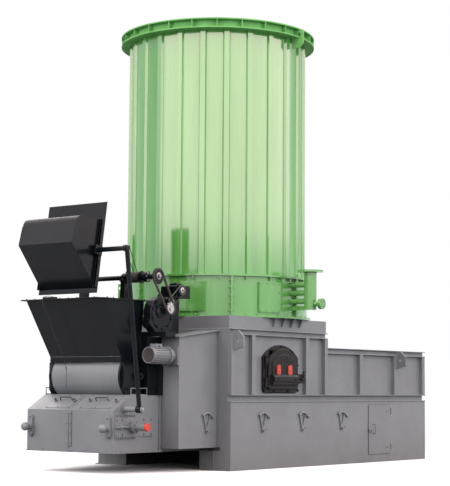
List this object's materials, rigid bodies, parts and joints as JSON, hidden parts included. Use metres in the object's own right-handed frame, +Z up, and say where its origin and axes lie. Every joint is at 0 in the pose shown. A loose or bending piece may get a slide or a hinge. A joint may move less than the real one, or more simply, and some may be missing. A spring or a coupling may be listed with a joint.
{
  "type": "thermal oil boiler",
  "caption": "Packaged solid-fuel thermal oil boiler: grey boxed furnace with chain grate and hopper, skip hoist with winch, and an upright ribbed green coil drum.",
  "frame": {"origin": "on the ground under the axis of the upright coil drum, on the base's cross wall", "axes": "+Z up, -Y towards the stoking front with the hopper, +X the side with the fire door"},
  "size_m": [2.6869, 5.7904, 5.096],
  "materials": {
    "grey_paint": "satin",
    "green_cladding": "gloss",
    "black_paint": "satin",
    "door_iron": "matt",
    "red_paint": "satin",
    "machined_steel": "machined",
    "belt_rubber": "matt",
    "furnace_steel": "matt"
  },
  "bodies": {
    "boiler": {"right_wall_front": "grey_paint", "right_wall_rear": "grey_paint", "access_bay": "grey_paint", "fire_door_bay": "grey_paint", "right_panel_rear": "grey_paint", "left_wall": "grey_paint", "left_panel": "grey_paint", "end_walls": "grey_paint", "roof_deck": "grey_paint", "furnace_floor": "furnace_steel", "tunnel_sides": "grey_paint", "leg_fronts": "grey_paint", "frame_rails": "grey_paint", "frame_posts": "grey_paint", "lifting_lugs": "grey_paint", "fire_door_frame": "door_iron", "pivot_pins": "machined_steel", "neck_block": "grey_paint", "side_boxes": "grey_paint", "side_box_roofs": "grey_paint", "grate_box": "grey_paint", "grate_lids": "grey_paint", "tension_plates": "grey_paint", "shaft_caps": "red_paint", "chain_grate": "furnace_steel", "grate_shafts": "furnace_steel", "drum_cover": "grey_paint", "feed_casing": "black_paint", "hopper": "black_paint", "feed_throat": "black_paint", "hoist_platform": "black_paint", "winch_stands": "black_paint", "hoist_chain": "furnace_steel", "hoist_gearbox": "black_paint", "motor_stool": "black_paint", "hoist_motor": "black_paint", "motor_belt": "belt_rubber", "grate_motor": "grey_paint", "pivot_stub": "grey_paint", "base_ring": "green_cladding", "drum_cladding": "green_cladding", "top_ring": "green_cladding", "top_cover": "green_cladding", "flue_collar": "green_cladding", "oil_header": "green_cladding", "coil_tubes": "green_cladding"},
    "fire_door": {"fire_door": "door_iron", "door_flaps": "red_paint"},
    "access_door": {"access_door": "grey_paint"},
    "bucket_arm": {"hoist_arm": "black_paint", "bucket_shell": "black_paint", "bucket_rim": "black_paint"},
    "winch_shaft": {"winch_shaft": "black_paint"},
    "output_sprocket": {"output_sprocket": "machined_steel"},
    "input_pulley": {"input_pulley": "furnace_steel"},
    "motor_pulley": {"motor_pulley": "furnace_steel"},
    "damper_front": {"damper_lever_front": "grey_paint"},
    "damper_second": {"damper_lever_second": "grey_paint"},
    "damper_third": {"damper_lever_third": "grey_paint"},
    "damper_rear": {"damper_lever_rear": "grey_paint"}
  },
  "joints": [
    {"name": "fire_door_hinge", "type": "hinge", "parent": "boiler", "child": "fire_door", "pos_m": [1.052, -0.437, 1.06], "axis": [0, 0, -1], "range_deg": [0, 110]},
    {"name": "access_door_hinge", "type": "hinge", "parent": "boiler", "child": "access_door", "pos_m": [1.053, 2.141, 0.391], "axis": [0, 0, 1], "range_deg": [0, 110]},
    {"name": "arm_pivot", "type": "hinge", "parent": "boiler", "child": "bucket_arm", "pos_m": [0.815, -2.256, 0.655], "axis": [1, 0, 0], "range_deg": [0, 92]},
    {"name": "winch_turn", "type": "hinge", "parent": "boiler", "child": "winch_shaft", "pos_m": [0, -1.9, 2.022], "axis": [1, 0, 0], "continuous": true},
    {"name": "output_turn", "type": "hinge", "parent": "boiler", "child": "output_sprocket", "pos_m": [0.74, -1.695, 1.697], "axis": [1, 0, 0], "continuous": true},
    {"name": "motor_turn", "type": "hinge", "parent": "boiler", "child": "motor_pulley", "pos_m": [0.707, -1.475, 1.898], "axis": [1, 0, 0], "continuous": true},
    {"name": "input_turn", "type": "hinge", "parent": "boiler", "child": "input_pulley", "pos_m": [0.707, -1.642, 1.768], "axis": [1, 0, 0], "continuous": true},
    {"name": "damper_front_turn", "type": "hinge", "parent": "boiler", "child": "damper_front", "pos_m": [0.861, -1.228, 0.42], "axis": [1, 0, 0], "range_deg": [-35, 35]},
    {"name": "damper_second_turn", "type": "hinge", "parent": "boiler", "child": "damper_second", "pos_m": [1.051, -0.488, 0.42], "axis": [1, 0, 0], "range_deg": [-35, 35]},
    {"name": "damper_third_turn", "type": "hinge", "parent": "boiler", "child": "damper_third", "pos_m": [1.051, 0.258, 0.42], "axis": [1, 0, 0], "range_deg": [-35, 35]},
    {"name": "damper_rear_turn", "type": "hinge", "parent": "boiler", "child": "damper_rear", "pos_m": [1.051, 1.053, 0.42], "axis": [1, 0, 0], "range_deg": [-35, 35]}
  ],
  "couplings": [
    {"joint": "output_turn", "follows": "winch_turn", "ratio": 1.2667},
    {"joint": "input_turn", "follows": "motor_turn", "ratio": 1.2364}
  ]
}
